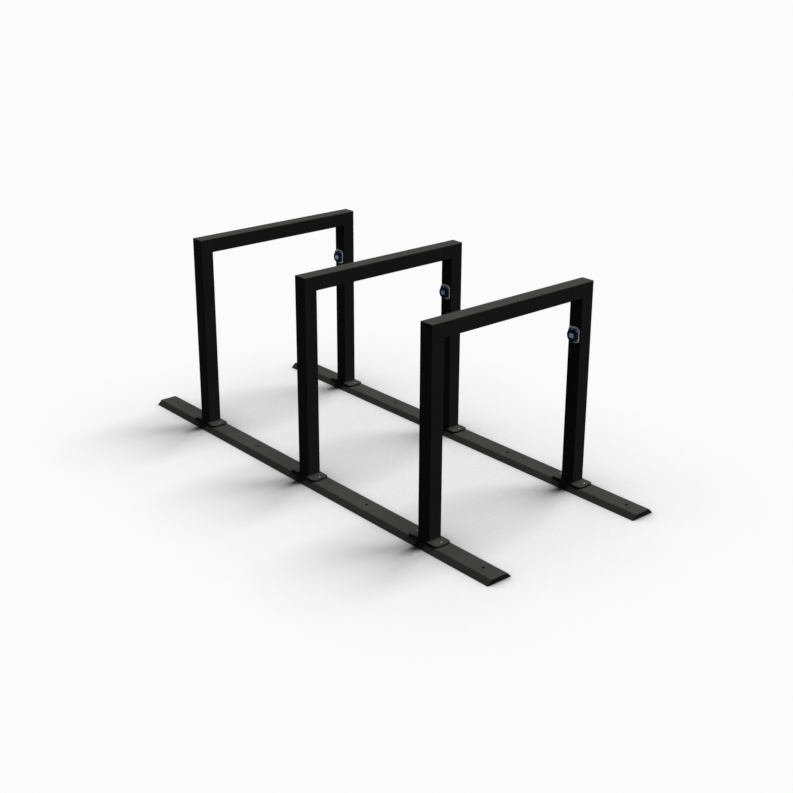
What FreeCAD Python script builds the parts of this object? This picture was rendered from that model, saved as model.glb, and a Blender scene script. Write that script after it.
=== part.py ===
import FreeCAD, Part
import math
import os
from FreeCAD import Placement, Rotation, Vector

# Bike rack with charging sockets. Square-tube hoops stand on two low floor rails, and the far leg of
# each hoop carries a mains socket behind a sprung lid. Sizes are millimetres and degrees. The origin is
# on the ground under the middle of the rack, X runs along the rails, Y from the near rail to the far
# rail, Z up.

# Hoops of square tube, mitred at the top corners
hoop_count = 3
hoop_pitch = 720.0
hoop_height = 850.0
hoop_length = 820.0
tube_side = 60.0
tube_wall = 3.0
tube_corner = 3.0
tube_inner_corner = 1.0

# Floor rails, folded from sheet with sloping sides and closed ends, open below
rail_overhang = 360.0
rail_foot_width = 115.0
rail_top_width = 75.0
rail_height = 20.0
rail_sheet = 4.0
rail_bend = 5.0
anchor_hole_diameter = 12.0
anchor_end_distance = 80.0

# Base plates under the legs, with the fasteners that hold them to the rails
base_length = 155.0
base_width = 75.0
base_thickness = 8.0
base_corner = 15.0
bolt_spread = 122.0
bolt_diameter = 8.0
bolt_length = 25.0
bolt_head_diameter = 14.0
bolt_head_height = 4.4
bolt_head_rim = 0.6
bolt_drive_flats = 5.0
bolt_drive_depth = 2.6
bolt_hole_clearance = 0.5
washer_diameter = 16.0
washer_thickness = 1.6
nut_flats = 13.0
nut_height = 6.5
thread_clearance = 0.05

# Cable way up from the ground into the far legs
cable_hole_diameter = 32.0
grommet_bore = 22.0
grommet_lip = 3.0
grommet_lip_thickness = 2.0
grommet_clearance = 0.2

# Socket backing plate and gasket on the inner face of the far leg
socket_height = 640.0
backing_width = 53.0
backing_height = 62.0
backing_lift = 2.5
backing_thickness = 7.0
backing_corner = 10.0
backing_top_corner = 13.5
gasket_thickness = 0.8
socket_screw_spacing = 38.0
socket_screw_diameter = 4.0
socket_screw_length = 18.0
socket_screw_head_diameter = 7.5
socket_screw_head_height = 2.2
socket_screw_clearance = 0.2

# Socket housing: flange, rim, plug recess and rear barrel
flange_side = 48.0
flange_thickness = 3.0
flange_corner = 8.0
rim_height = 3.5
rim_wall = 2.0
recess_diameter = 39.0
recess_depth = 17.5
floor_thickness = 2.5
barrel_diameter = 42.5
barrel_depth = 24.0
barrel_wall = 2.0
barrel_clearance = 0.5

# Contacts behind the recess floor
pin_spacing = 19.0
pin_hole_diameter = 5.2
sleeve_diameter = 6.0
sleeve_bore = 4.9
sleeve_slit = 0.6
sleeve_clearance = 0.2
sleeve_setback = 0.5
terminal_side = 8.0
terminal_depth = 9.0
terminal_screw_diameter = 3.0
terminal_screw_length = 5.0
terminal_screw_head_diameter = 5.5
terminal_screw_head_height = 2.0
carrier_clearance = 0.2
earth_width = 6.0
earth_sheet = 0.8
earth_reach = 36.0
earth_tip_setback = 4.0
earth_bow = 1.6
earth_bow_length = 4.0
earth_clearance = 0.3

# Rear cover over the terminals
cover_depth = 14.0
cover_wall = 2.0
cover_cable_diameter = 8.0

# Lid with its seal and bare inlay
lid_diameter = 48.0
lid_wall = 1.8
lid_front = 2.0
lid_edge = 1.2
lid_open_angle = 110.0
lip_width = 16.0
lip_reach = 2.0
lip_corner = 2.0
seal_space = 1.0
seal_gap = 0.3
seal_width = 3.2
inlay_width = 22.0
inlay_height = 17.5
inlay_corner = 2.0
inlay_thickness = 0.8
inlay_proud = 0.3
inlay_clearance = 0.1

# Hinge across the top of the flange, with its pin and torsion spring
hinge_rise = 25.0
knuckle_diameter = 5.0
knuckle_length = 4.5
ear_length = 4.0
ear_root = 3.0
hinge_back_gap = 0.4
hinge_side_gap = 0.3
hinge_stop_gap = 0.3
lid_back_gap = 0.2
hinge_pin_diameter = 2.0
pin_seat_clearance = 0.02
pin_running_clearance = 0.06
spring_bay = 12.4
spring_bay_gap = 0.4
spring_wire = 0.6
spring_wire_sides = 6
spring_mean_diameter = 3.4
spring_turns = 5
spring_steps_per_turn = 4
spring_pitch = 1.6
spring_tang_angle = 160.0
spring_tang_seat_gap = 0.05
spring_bend = 0.8
spring_hook = 1.3
spring_hook_clearance = 0.1

# How far cutting shapes reach past the surfaces that they cut
cut_over = 1.0

# Places that follow from the sizes above
leg_y = (hoop_length - tube_side) / 2.0
leg_face_y = hoop_length / 2.0 - tube_side
rail_half_length = (hoop_count - 1) * hoop_pitch / 2.0 + rail_overhang
base_top = rail_height + base_thickness
rail_underside = rail_height - rail_sheet
nut_top = rail_underside - washer_thickness
hoop_places = [(index - (hoop_count - 1) / 2.0) * hoop_pitch for index in range(hoop_count)]
bay_places = [(left + right) / 2.0 for left, right in zip(hoop_places, hoop_places[1:])]
anchor_end = rail_half_length - anchor_end_distance
anchor_places = [-anchor_end] + bay_places + [anchor_end]
bolt_hole_radius = bolt_diameter / 2.0 + bolt_hole_clearance

# Distances out from the leg's face to the fronts of the socket's layers
gasket_out = backing_thickness + gasket_thickness
flange_out = gasket_out + flange_thickness
rim_out = flange_out + rim_height
floor_out = rim_out - recess_depth
floor_back = floor_out - floor_thickness
barrel_end = gasket_out - barrel_depth
cover_end = barrel_end - cover_depth
recess_radius = recess_diameter / 2.0
barrel_radius = barrel_diameter / 2.0
barrel_bore = barrel_radius - barrel_wall
carrier_radius = barrel_bore - carrier_clearance
knuckle_radius = knuckle_diameter / 2.0
hinge_out = flange_out + hinge_back_gap + knuckle_radius
knuckle_start = spring_bay / 2.0
knuckle_end = knuckle_start + knuckle_length
ear_start = knuckle_end + hinge_side_gap
ear_end = ear_start + ear_length
lid_radius = lid_diameter / 2.0
lid_back = hinge_out + lid_back_gap
lid_inside = rim_out + seal_space
lid_face = lid_inside + lid_front
spring_radius = spring_mean_diameter / 2.0
screw_offset = socket_screw_spacing / 2.0
screw_places = [(x, y) for x in (-screw_offset, screw_offset) for y in (-screw_offset, screw_offset)]


def outline(corners):
    """Closed wire in the XY plane through (x, y, radius) corners, each rounded by its radius."""
    points = [Vector(x, y, 0) for x, y, radius in corners]
    joints = []
    for index, (x, y, radius) in enumerate(corners):
        corner = points[index]
        back = (points[index - 1] - corner).normalize()
        ahead = (points[(index + 1) % len(points)] - corner).normalize()
        half = back.getAngle(ahead) / 2.0
        reach = radius / math.tan(half)
        middle = corner
        if radius > 0:
            middle = corner + (back + ahead).normalize() * (radius / math.sin(half) - radius)
        joints.append((corner + back * reach, middle, corner + ahead * reach))
    edges = []
    for index, (start, middle, end) in enumerate(joints):
        if not start.isEqual(end, 1e-6):
            edges.append(Part.Arc(start, middle, end).toShape())
        next_start = joints[(index + 1) % len(joints)][0]
        if not end.isEqual(next_start, 1e-6):
            edges.append(Part.LineSegment(end, next_start).toShape())
    return Part.Wire(edges)


def rounded_rectangle(width, height, radius):
    """Rectangle outline round the origin, with equal corner radii."""
    right = width / 2.0
    top = height / 2.0
    return outline([(-right, -top, radius), (right, -top, radius),
                    (right, top, radius), (-right, top, radius)])


def rectangle(left, right, low, high):
    """Sharp rectangle between two pairs of sides."""
    return outline([(left, low, 0), (right, low, 0), (right, high, 0), (left, high, 0)])


def hexagon(flats):
    """Regular hexagon outline with a given distance across its flats."""
    reach = flats / math.sqrt(3.0)
    turns = [math.radians(angle) for angle in range(0, 360, 60)]
    return outline([(reach * math.cos(turn), reach * math.sin(turn), 0) for turn in turns])


def prism_z(wire, low, high):
    """Solid with the wire as its section, standing between two heights."""
    solid = Part.Face(wire).extrude(Vector(0, 0, high - low))
    solid.translate(Vector(0, 0, low))
    return solid


def prism_x(wire, low, high):
    """Solid along X whose section's first and second coordinates are Y and Z."""
    solid = Part.Face(wire).extrude(Vector(0, 0, high - low))
    solid.Placement = Placement(Vector(low, 0, 0), Rotation(Vector(1, 1, 1), 120))
    return solid


def disc(radius, low, high, x=0.0, y=0.0):
    """Cylinder along Z between two heights."""
    return Part.makeCylinder(radius, high - low, Vector(x, y, low))


def rod_x(radius, low, high, y, z):
    """Cylinder along X between two ends."""
    return Part.makeCylinder(radius, high - low, Vector(low, y, z), Vector(1, 0, 0))


def ring(outer, inner, low, high):
    """Flat ring or tube along Z."""
    return disc(outer, low, high).cut(disc(inner, low - cut_over, high + cut_over))


def turned(profile):
    """Solid of revolution about Z from (radius, height, corner radius) points."""
    face = Part.Face(outline(profile))
    face.rotate(Vector(0, 0, 0), Vector(1, 0, 0), 90)
    return face.revolve(Vector(0, 0, 0), Vector(0, 0, 1), 360)


def drilled(solid, radius, places, low, high):
    """The solid with a round hole along Z at each (x, y) place."""
    return solid.cut([disc(radius, low - cut_over, high + cut_over, x, y) for x, y in places])


def moved(solid, x=0.0, y=0.0, z=0.0):
    """A copy of the solid, shifted."""
    copy = solid.copy()
    copy.translate(Vector(x, y, z))
    return copy


def on_leg(solid, hoop_x):
    """A copy of a socket piece, turned from its own frame to the far leg of one hoop.

    In the piece's own frame X runs along the rails, Y is up and Z points out of the leg's inner face.
    """
    copy = solid.copy()
    seat = Placement(Vector(hoop_x, leg_face_y, socket_height), Rotation(Vector(1, 0, 0), 90))
    copy.Placement = seat.multiply(copy.Placement)
    return copy


def square_tube(length):
    """Square tube along Z from the origin."""
    inner_side = tube_side - 2 * tube_wall
    inside = rounded_rectangle(inner_side, inner_side, tube_inner_corner)
    outside = rounded_rectangle(tube_side, tube_side, tube_corner)
    return prism_z(outside, 0, length).cut(prism_z(inside, -cut_over, length + cut_over))


def mitre_waste(side_y, low_z):
    """Wedge beside the 45 degree cut at the near top corner: the side with (side_y, low_z) comes away."""
    outer = -hoop_length / 2.0 - cut_over
    inner = -leg_face_y + cut_over
    top = hoop_height + cut_over
    bottom = hoop_height - tube_side - cut_over
    half_width = tube_side / 2.0 + cut_over
    wedge = outline([(outer, top, 0), (inner, bottom, 0), (side_y, low_z, 0)])
    return prism_x(wedge, -half_width, half_width)


def plain_leg():
    """Near leg of a hoop, from its base plate to the mitre."""
    leg = moved(square_tube(hoop_height - base_top), y=-leg_y, z=base_top)
    return leg.cut(mitre_waste(-leg_face_y + cut_over, hoop_height + cut_over))


def socket_leg():
    """Far leg of a hoop, with the socket's hole and screw holes through its inner wall."""
    leg = plain_leg().mirror(Vector(0, 0, 0), Vector(0, 1, 0))
    holes = [disc(barrel_radius + barrel_clearance, -tube_wall - cut_over, cut_over)]
    tapped_radius = socket_screw_diameter / 2.0 + thread_clearance
    holes += [disc(tapped_radius, -tube_wall - cut_over, cut_over, x, y) for x, y in screw_places]
    return leg.cut([on_leg(hole, 0) for hole in holes])


def top_tube():
    """Level tube of a hoop, mitred at both ends."""
    tube = square_tube(hoop_length)
    tube.rotate(Vector(0, 0, 0), Vector(1, 0, 0), -90)
    tube = moved(tube, y=-hoop_length / 2.0, z=hoop_height - tube_side / 2.0)
    waste = mitre_waste(-hoop_length / 2.0 - cut_over, hoop_height - tube_side - cut_over)
    return tube.cut([waste, waste.mirror(Vector(0, 0, 0), Vector(0, 1, 0))])


def bolt_places(hoop_x=0.0):
    """The two bolt places of one leg, in line with the rail."""
    return [(hoop_x - bolt_spread / 2.0, 0), (hoop_x + bolt_spread / 2.0, 0)]


def base_plate(has_cable_hole):
    """Plate under a leg, centred on it."""
    plate = prism_z(rounded_rectangle(base_length, base_width, base_corner), rail_height, base_top)
    plate = drilled(plate, bolt_hole_radius, bolt_places(), rail_height, base_top)
    if has_cable_hole:
        plate = drilled(plate, cable_hole_diameter / 2.0, [(0, 0)], rail_height, base_top)
    return plate


def rail(has_cable_holes):
    """Folded floor rail with sloping sides, centred on its own length."""
    foot = rail_foot_width / 2.0
    top = rail_top_width / 2.0
    slope = math.atan2(rail_height, foot - top)
    inner_foot = foot - rail_sheet / math.sin(slope)
    inner_top = inner_foot - rail_underside / math.tan(slope)
    bend_inside = rail_bend - rail_sheet
    outer_half = [(foot, 0, 0), (top, rail_height, rail_bend)]
    inner_half = [(inner_foot, 0, 0), (inner_top, rail_underside, bend_inside)]
    outside = outline(outer_half + [(-y, z, r) for y, z, r in reversed(outer_half)])
    inside = outline(inner_half + [(-y, z, r) for y, z, r in reversed(inner_half)])
    hollow_end = rail_half_length - rail_sheet
    channel = prism_x(outside, -rail_half_length, rail_half_length)
    channel = channel.cut(prism_x(inside, -hollow_end, hollow_end))
    anchors = [(x, 0) for x in anchor_places]
    channel = drilled(channel, anchor_hole_diameter / 2.0, anchors, rail_underside, rail_height)
    bolts = [place for hoop_x in hoop_places for place in bolt_places(hoop_x)]
    channel = drilled(channel, bolt_hole_radius, bolts, rail_underside, rail_height)
    if has_cable_holes:
        cables = [(x, 0) for x in hoop_places]
        channel = drilled(channel, cable_hole_diameter / 2.0, cables, rail_underside, rail_height)
    return channel


def base_bolt():
    """Button-head bolt with a hexagon socket, its domed head on the base plate."""
    shank = bolt_diameter / 2.0
    head = bolt_head_diameter / 2.0
    tip = base_top - bolt_length
    crown = base_top + bolt_head_height
    dome = bolt_head_height - bolt_head_rim
    bolt = turned([(0, tip, 0), (shank, tip, 0), (shank, base_top, 0), (head, base_top, 0),
                   (head, crown, dome), (0, crown, 0)])
    return bolt.cut(prism_z(hexagon(bolt_drive_flats), crown - bolt_drive_depth, crown + cut_over))


def base_washer():
    """Flat washer between the rail's top and a nut."""
    return ring(washer_diameter / 2.0, bolt_hole_radius, nut_top, rail_underside)


def base_nut():
    """Hexagon nut under its washer."""
    nut = prism_z(hexagon(nut_flats), nut_top - nut_height, nut_top)
    bore = bolt_diameter / 2.0 + thread_clearance
    return drilled(nut, bore, [(0, 0)], nut_top - nut_height, nut_top)


def cable_grommet():
    """Rubber bush that lines the cable hole through base plate and rail."""
    bore = grommet_bore / 2.0
    neck = cable_hole_diameter / 2.0 - grommet_clearance
    lip = cable_hole_diameter / 2.0 + grommet_lip
    low = rail_underside - grommet_lip_thickness
    high = base_top + grommet_lip_thickness
    return turned([(bore, low, 0), (lip, low, 0), (lip, rail_underside, 0), (neck, rail_underside, 0),
                   (neck, base_top, 0), (lip, base_top, 0), (lip, high, 0), (bore, high, 0)])


def screw_hole_radius():
    """Clear hole for the socket's fixing screws."""
    return socket_screw_diameter / 2.0 + socket_screw_clearance


def backing_plate():
    """Pale plate between the leg and the socket, rounder at its top corners."""
    right = backing_width / 2.0
    low = backing_lift - backing_height / 2.0
    top = backing_lift + backing_height / 2.0
    shape = outline([(-right, low, backing_corner), (right, low, backing_corner),
                     (right, top, backing_top_corner), (-right, top, backing_top_corner)])
    plate = prism_z(shape, 0, backing_thickness)
    plate = drilled(plate, barrel_radius + barrel_clearance, [(0, 0)], 0, backing_thickness)
    return drilled(plate, screw_hole_radius(), screw_places, 0, backing_thickness)


def flange_gasket():
    """Rubber gasket under the socket's flange."""
    shape = rounded_rectangle(flange_side, flange_side, flange_corner)
    gasket = prism_z(shape, backing_thickness, gasket_out)
    gasket = drilled(gasket, barrel_radius + barrel_clearance, [(0, 0)], backing_thickness, gasket_out)
    return drilled(gasket, screw_hole_radius(), screw_places, backing_thickness, gasket_out)


def hinge_ear(side):
    """Lug on the flange that carries one end of the hinge pin."""
    low, high = sorted((side * ear_start, side * ear_end))
    root = rectangle(hinge_rise - ear_root, hinge_rise + knuckle_radius, flange_out - cut_over, hinge_out)
    return prism_x(root, low, high).fuse(rod_x(knuckle_radius, low, high, hinge_rise, hinge_out))


def earth_slots(low, high):
    """Cutters for the two slots that the earth clips pass through."""
    half_width = earth_width / 2.0 + earth_clearance
    near = earth_reach / 2.0 - earth_clearance
    far = earth_reach / 2.0 + earth_sheet + earth_clearance
    return [prism_z(rectangle(-half_width, half_width, *sorted((side * near, side * far))), low, high)
            for side in (-1, 1)]


def pin_places():
    """The two plug pins, side by side."""
    return [(-pin_spacing / 2.0, 0), (pin_spacing / 2.0, 0)]


def socket_housing():
    """Moulded flange with rim, plug recess, rear barrel and hinge ears."""
    rim_radius = recess_radius + rim_wall
    flange = prism_z(rounded_rectangle(flange_side, flange_side, flange_corner), gasket_out, flange_out)
    tab_top = hinge_rise + knuckle_radius
    tab = prism_z(rectangle(-ear_end, ear_end, hinge_rise - ear_root, tab_top), gasket_out, flange_out)
    core = turned([(0, floor_back, 0), (barrel_bore, floor_back, 0), (barrel_bore, barrel_end, 0),
                   (barrel_radius, barrel_end, 0), (barrel_radius, flange_out, 0),
                   (rim_radius, flange_out, 0), (rim_radius, rim_out, 0), (0, rim_out, 0)])
    housing = flange.fuse([tab, core, hinge_ear(-1), hinge_ear(1)])
    housing = housing.cut(disc(recess_radius, floor_out, rim_out + cut_over))
    housing = drilled(housing, pin_hole_diameter / 2.0, pin_places(), floor_back, floor_out)
    housing = drilled(housing, screw_hole_radius(), screw_places, gasket_out, flange_out)
    sinks = [moved(countersink(), x, y) for x, y in screw_places]
    pin_seat = hinge_pin_diameter / 2.0 + pin_seat_clearance
    seat = rod_x(pin_seat, -ear_end - cut_over, ear_end + cut_over, hinge_rise, hinge_out)
    return housing.cut(sinks + earth_slots(floor_back, floor_out) + [seat]).removeSplitter()


def countersink():
    """Cone that the head of a fixing screw sinks into, flush with the flange."""
    top_radius = socket_screw_head_diameter / 2.0 + socket_screw_clearance
    low = flange_out - socket_screw_head_height
    return Part.makeCone(screw_hole_radius(), top_radius, socket_screw_head_height, Vector(0, 0, low))


def socket_screw():
    """Countersunk screw through flange, gasket and plate into the leg."""
    shank = socket_screw_diameter / 2.0
    head = socket_screw_head_diameter / 2.0
    neck = flange_out - socket_screw_head_height
    tip = flange_out - socket_screw_length
    return turned([(0, tip, 0), (shank, tip, 0), (shank, neck, 0),
                   (head, flange_out, 0), (0, flange_out, 0)])


def contact_carrier():
    """Insulating block that holds the contacts behind the recess floor."""
    carrier = disc(carrier_radius, barrel_end, floor_back)
    sleeve_bore_radius = sleeve_diameter / 2.0 + sleeve_clearance
    carrier = drilled(carrier, sleeve_bore_radius, pin_places(), barrel_end, floor_back)
    slots = earth_slots(barrel_end - cut_over, floor_back + cut_over)
    screw = terminal_screw_diameter / 2.0 + thread_clearance
    depth = barrel_end + terminal_screw_length
    return carrier.cut(slots + [disc(screw, barrel_end - cut_over, depth)])


def live_contact(x):
    """Slit sleeve for one plug pin, with the screw terminal behind it."""
    front = floor_back - sleeve_setback
    half = terminal_side / 2.0
    sleeve = disc(sleeve_diameter / 2.0, barrel_end, front)
    block = prism_z(rectangle(-half, half, -half, half), barrel_end - terminal_depth, barrel_end)
    contact = sleeve.fuse(block).removeSplitter().cut(disc(sleeve_bore / 2.0, barrel_end, front + cut_over))
    slit = sleeve_slit / 2.0
    reach = sleeve_diameter / 2.0 + cut_over
    contact = contact.cut(prism_z(rectangle(-slit, slit, -reach, reach), barrel_end, front + cut_over))
    tapped_radius = terminal_screw_diameter / 2.0 + thread_clearance
    hole_start = Vector(0, half - terminal_screw_length, barrel_end - terminal_depth / 2.0)
    screw_hole = Part.makeCylinder(tapped_radius, terminal_screw_length, hole_start, Vector(0, 1, 0))
    return moved(contact.cut(screw_hole), x=x)


def terminal_screw():
    """Screw along Z, its head resting on the plane through the origin."""
    shank = terminal_screw_diameter / 2.0
    head = terminal_screw_head_diameter / 2.0
    return turned([(0, -terminal_screw_length, 0), (shank, -terminal_screw_length, 0), (shank, 0, 0),
                   (head, 0, 0), (head, terminal_screw_head_height, 0), (0, terminal_screw_head_height, 0)])


def terminal_screws():
    """Two live terminal screws and the earth screw of one socket."""
    live = terminal_screw()
    live.rotate(Vector(0, 0, 0), Vector(1, 0, 0), -90)
    live = moved(live, y=terminal_side / 2.0, z=barrel_end - terminal_depth / 2.0)
    earth = terminal_screw()
    earth.rotate(Vector(0, 0, 0), Vector(1, 0, 0), 180)
    return [moved(live, x) for x, y in pin_places()] + [moved(earth, z=barrel_end - earth_sheet)]


def earth_bracket():
    """Bent strap with two earth clips that run along the recess wall and bow inwards at their tips."""
    reach = earth_reach / 2.0
    tip = rim_out - earth_tip_setback
    bow = tip - earth_bow_length
    straight = bow - earth_bow_length
    back = barrel_end - earth_sheet
    outside = reach + earth_sheet
    upper = [(reach, barrel_end, 0), (reach, straight, 0), (reach - earth_bow, bow, 0), (reach, tip, 0),
             (outside, tip, 0), (outside - earth_bow, bow, 0), (outside, straight, 0), (outside, back, 0)]
    lower = [(-rise, out, corner) for rise, out, corner in reversed(upper)]
    half_width = earth_width / 2.0
    strap = prism_x(outline(upper + lower), -half_width, half_width)
    hole = terminal_screw_diameter / 2.0 + thread_clearance
    return drilled(strap, hole, [(0, 0)], back, barrel_end)


def terminal_cover():
    """Cup over the terminals behind the leg's wall, with a cable entry below."""
    inner_end = cover_end + cover_wall
    inside = disc(barrel_radius - cover_wall, inner_end, barrel_end + cut_over)
    middle = Vector(0, 0, (inner_end + barrel_end) / 2.0)
    entry = Part.makeCylinder(cover_cable_diameter / 2.0, barrel_radius, middle, Vector(0, -1, 0))
    return disc(barrel_radius, cover_end, barrel_end).cut([inside, entry])


def heel_rise():
    """Height of the knuckle's square heel, which meets the flange as the lid reaches its open angle."""
    opening = math.radians(lid_open_angle)
    free = knuckle_radius + hinge_back_gap - hinge_stop_gap
    return (knuckle_radius * math.cos(opening) + free) / math.sin(opening)


def lid_knuckle(side):
    """Arm and knuckle of the lid on one side of the spring."""
    low, high = sorted((side * knuckle_start, side * knuckle_end))
    root = lid_radius - knuckle_diameter
    arm = rectangle(root, hinge_rise + heel_rise(), hinge_out, hinge_out + knuckle_radius)
    return prism_x(arm, low, high).fuse(rod_x(knuckle_radius, low, high, hinge_rise, hinge_out))


def lid():
    """Round sprung lid with its skirt, finger lip, hinge knuckles and seat for the inlay."""
    cap = turned([(0, lid_back, 0), (lid_radius, lid_back, 0), (lid_radius, lid_face - lid_edge, 0),
                  (lid_radius - lid_edge, lid_face, 0), (0, lid_face, 0)])
    lip_end = -lid_radius - lip_reach
    half_lip = lip_width / 2.0
    lip_shape = outline([(-half_lip, lip_end, lip_corner), (half_lip, lip_end, lip_corner),
                         (half_lip, 0, 0), (-half_lip, 0, 0)])
    lip = prism_z(lip_shape, lid_back, lid_inside)
    shell = cap.fuse([lip, lid_knuckle(-1), lid_knuckle(1)])
    cavity = disc(lid_radius - lid_wall, hinge_out - cut_over, lid_inside)
    bore_radius = hinge_pin_diameter / 2.0 + pin_running_clearance
    bore_end = knuckle_end + cut_over
    bore = rod_x(bore_radius, -bore_end, bore_end, hinge_rise, hinge_out)
    bay_radius = spring_radius + spring_wire / 2.0 + spring_bay_gap
    bay = rod_x(bay_radius, -knuckle_start, knuckle_start, hinge_rise, hinge_out)
    seat_gap = 2 * inlay_clearance
    seat_shape = rounded_rectangle(inlay_width + seat_gap, inlay_height + seat_gap, inlay_corner)
    seat = prism_z(seat_shape, lid_face + inlay_proud - inlay_thickness, lid_face + cut_over)
    hook = spring_path()[-1].lastVertex().Point
    hook_radius = spring_wire / 2.0 + spring_hook_clearance
    hook_end = hook.x + spring_hook_clearance
    hook_hole = rod_x(hook_radius, knuckle_start - cut_over, hook_end, hook.y, hook.z)
    return shell.cut([cavity, bore, bay, seat, hook_hole]).removeSplitter()


def lid_seal():
    """Flat rubber ring inside the lid, over the rim."""
    outer = lid_radius - lid_wall - seal_gap
    return ring(outer, outer - seal_width, rim_out + seal_gap, lid_inside)


def lid_inlay():
    """Bare pale inlay in the lid's face."""
    high = lid_face + inlay_proud
    return prism_z(rounded_rectangle(inlay_width, inlay_height, inlay_corner), high - inlay_thickness, high)


def hinge_pin():
    """Pin through both ears and knuckles."""
    return rod_x(hinge_pin_diameter / 2.0, -ear_end, ear_end, hinge_rise, hinge_out)


def biarc(start, leaving, end, arriving):
    """Two arcs that join in one tangent line, from a point and direction to another."""
    chord = end - start
    both = leaving + arriving
    bend = 2.0 * (1.0 - leaving.dot(arriving))
    along = chord.dot(both)
    reach = (math.sqrt(along * along + bend * chord.dot(chord)) - along) / bend
    first = start + leaving * reach
    last = end - arriving * reach
    meet = (first + last) * 0.5
    arcs = []
    for low, corner, high in ((start, first, meet), (meet, last, end)):
        weight = (high - low).Length / (2.0 * reach)
        middle = (low + corner * (2.0 * weight) + high) * (0.5 / (1.0 + weight))
        arcs.append(Part.Arc(low, middle, high).toShape())
    return arcs


def coil_point(turn):
    """Point and direction of the spring's helix after a number of turns."""
    angle = math.radians(spring_tang_angle) - 2.0 * math.pi * turn
    x = -spring_turns * spring_pitch / 2.0 + spring_pitch * turn
    rise = hinge_rise + spring_radius * math.sin(angle)
    out = hinge_out + spring_radius * math.cos(angle)
    around = 2.0 * math.pi * spring_radius
    heading = Vector(spring_pitch, -around * math.cos(angle), around * math.sin(angle))
    return Vector(x, rise, out), heading.normalize()


def spring_path():
    """Edges of the spring's wire: tang on the flange, turns round the pin, hook in the lid's knuckle."""
    start, leaving = coil_point(0)
    seat = flange_out + spring_wire / 2.0 + spring_tang_seat_gap
    tang_end = start - leaving * ((start.z - seat) / leaving.z)
    edges = [Part.LineSegment(tang_end, start).toShape()]
    for step in range(spring_steps_per_turn * spring_turns):
        here, heading = coil_point(step / spring_steps_per_turn)
        there, arriving = coil_point((step + 1) / spring_steps_per_turn)
        edges += biarc(here, heading, there, arriving)
    end, heading = coil_point(spring_turns)
    axial = Vector(1, 0, 0)
    bend_end = end + (heading + axial) * spring_bend
    edges += biarc(end, heading, bend_end, axial)
    hook_end = Vector(knuckle_start + spring_hook, bend_end.y, bend_end.z)
    return edges + [Part.LineSegment(bend_end, hook_end).toShape()]


def spring_gap(edges):
    """Least gap between turns of the wire, measured on points along its path."""
    points = []
    for edge in edges:
        points += edge.discretize(Distance=spring_wire / 2.0)[:-1]
    apart = int(math.pi * spring_radius / (spring_wire / 2.0))
    pairs = [(a, b) for a in range(len(points)) for b in range(a + apart, len(points))]
    return min(points[a].distanceToPoint(points[b]) for a, b in pairs) - spring_wire


def lid_spring():
    """Torsion spring round the hinge pin, as one unbroken wire with a faceted section."""
    edges = spring_path()
    start = edges[0].firstVertex().Point
    direction = edges[0].tangentAt(edges[0].FirstParameter)
    rim = Part.Circle(start, direction, spring_wire / 2.0).toShape()
    section = Part.makePolygon(rim.discretize(spring_wire_sides + 1))
    return Part.Wire(edges).makePipeShell([section], True, False)


near_leg_solid = plain_leg()
far_leg_solid = socket_leg()
top_tube_solid = top_tube()
near_plate_solid = base_plate(False)
far_plate_solid = base_plate(True)
bolt_seats = [(x, y + side * leg_y)
              for side in (-1, 1) for hoop_x in hoop_places for x, y in bolt_places(hoop_x)]

nodes = {
    "near_rail": moved(rail(False), y=-leg_y),
    "far_rail": moved(rail(True), y=leg_y),
    "base_bolts": Part.makeCompound([moved(base_bolt(), x, y) for x, y in bolt_seats]),
    "base_washers": Part.makeCompound([moved(base_washer(), x, y) for x, y in bolt_seats]),
    "base_nuts": Part.makeCompound([moved(base_nut(), x, y) for x, y in bolt_seats]),
    "cable_grommets": Part.makeCompound([moved(cable_grommet(), x, leg_y) for x in hoop_places]),
    "socket_screws": Part.makeCompound([on_leg(moved(socket_screw(), x, y), hoop_x)
                                        for hoop_x in hoop_places for x, y in screw_places]),
    "terminal_screws": Part.makeCompound([on_leg(screw, hoop_x)
                                          for hoop_x in hoop_places for screw in terminal_screws()]),
}

socket_pieces = {
    "backing_plate": backing_plate(),
    "gasket": flange_gasket(),
    "housing": socket_housing(),
    "carrier": contact_carrier(),
    "live_contacts": Part.makeCompound([live_contact(x) for x, y in pin_places()]),
    "earth_bracket": earth_bracket(),
    "terminal_cover": terminal_cover(),
    "lid": lid(),
    "lid_seal": lid_seal(),
    "lid_inlay": lid_inlay(),
    "hinge_pin": hinge_pin(),
    "lid_spring": lid_spring(),
}

for number, hoop_x in enumerate(hoop_places, start=1):
    hoop = "hoop_%d_" % number
    nodes[hoop + "near_leg"] = moved(near_leg_solid, hoop_x)
    nodes[hoop + "far_leg"] = moved(far_leg_solid, hoop_x)
    nodes[hoop + "top_tube"] = moved(top_tube_solid, hoop_x)
    nodes[hoop + "near_plate"] = moved(near_plate_solid, hoop_x, -leg_y)
    nodes[hoop + "far_plate"] = moved(far_plate_solid, hoop_x, leg_y)
    for piece, solid in socket_pieces.items():
        nodes["socket_%d_%s" % (number, piece)] = on_leg(solid, hoop_x)

os.makedirs("parts", exist_ok=True)
for name, shape in nodes.items():
    shape.exportStep("parts/%s.step" % name)
print("nodes", len(nodes), "spring gap %.2f mm" % spring_gap(spring_path()))
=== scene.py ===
import logging
import math
from dataclasses import dataclass
from enum import Enum
from typing import Iterable, Iterator, List, Mapping, Optional, Sequence, Tuple, Type, TypeVar, Union

import bmesh
import bpy
from bmesh.types import BMEdge, BMesh, BMFace, BMVert
from bpy.types import ID, Material, NodeSocket, NodeTree, Object
from mathutils import Matrix, Vector


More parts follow.
